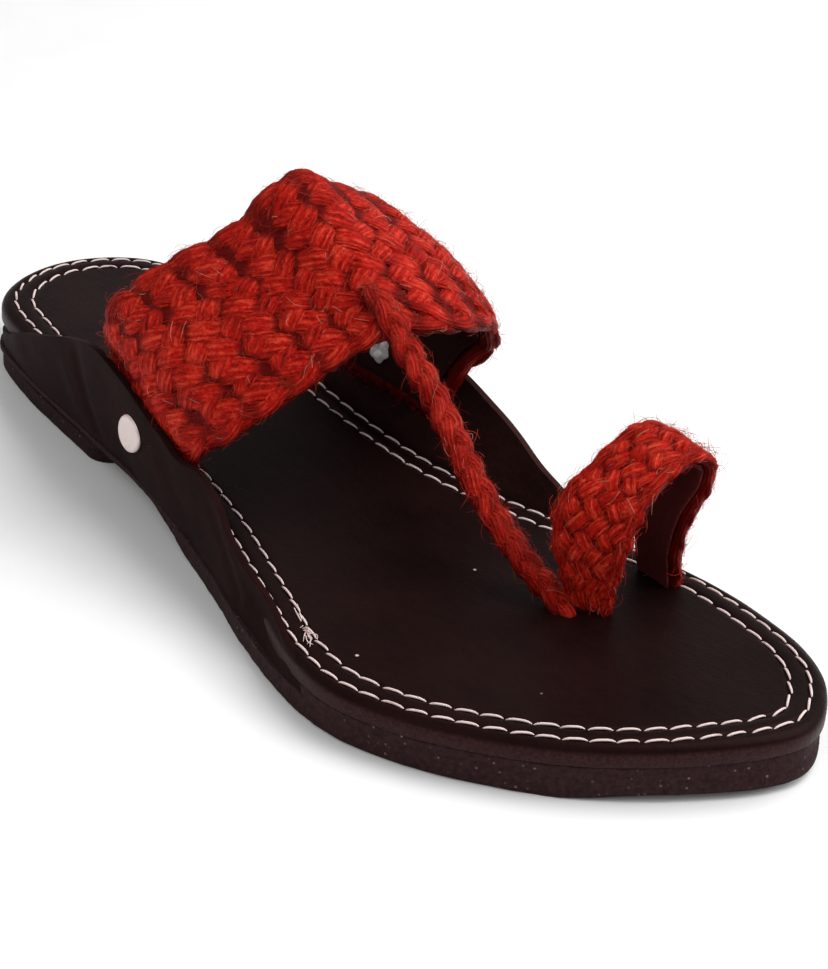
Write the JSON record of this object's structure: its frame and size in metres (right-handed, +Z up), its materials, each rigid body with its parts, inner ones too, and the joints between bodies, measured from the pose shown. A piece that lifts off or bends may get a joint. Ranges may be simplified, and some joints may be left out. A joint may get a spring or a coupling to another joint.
{
  "type": "toe-loop sandal",
  "caption": "Right-foot open sandal: woven instep band joined by a plaited cord to a big-toe loop, on a stitched suede footbed, foam outsole and low heel, with riveted side flaps.",
  "frame": {"origin": "on the floor, under the middle of the sandal's box in plan", "axes": "+X from heel to toe, +Y to the wearer's left (the inner, big-toe side of this right shoe), +Z up from the floor the shoe stands on"},
  "size_m": [0.2484, 0.0922, 0.0775],
  "materials": {
    "suede": "napped suede, matte",
    "foam": "speckled microcellular rubber, matte",
    "lift": "matte",
    "jute": "dyed plaited jute, fuzzy",
    "rivet": "satin"
  },
  "bodies": {
    "root": {"outsole": "foam", "heel_lift": "lift", "footbed": "suede", "flap_lateral": "suede", "flap_medial": "suede", "upper": "jute", "rivet_lateral": "rivet", "rivet_medial": "rivet"}
  },
  "joints": []
}
